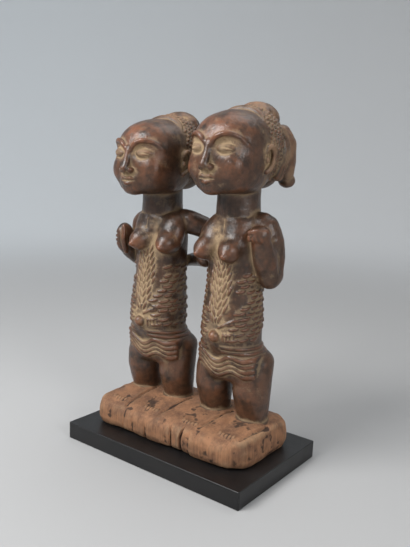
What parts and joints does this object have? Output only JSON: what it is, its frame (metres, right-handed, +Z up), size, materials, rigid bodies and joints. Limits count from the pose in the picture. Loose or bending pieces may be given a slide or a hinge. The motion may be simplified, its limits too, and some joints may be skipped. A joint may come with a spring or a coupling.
{
  "type": "paired standing luba figures",
  "caption": "Wooden carving of a pair of standing women side by side, arms round each other, on a shared plinth, resting on a black display slab.",
  "frame": {"origin": "middle of the underside of the display slab", "axes": "+Z up through the figures, both women face -Y, +X runs from the left-hand woman to the right-hand one as seen from the front"},
  "size_m": [0.25, 0.156, 0.4033],
  "materials": {
    "carved_wood": "dark brown hand-polished patina, worn glossy on the raised forms, with dry ochre dust in the recesses and raw red-brown wood on the plinth",
    "black_wood": "ebonised satin black, thinly rubbed along its edges"
  },
  "bodies": {
    "root": {"carved_pair": "carved_wood", "display_base": "black_wood"}
  },
  "joints": []
}
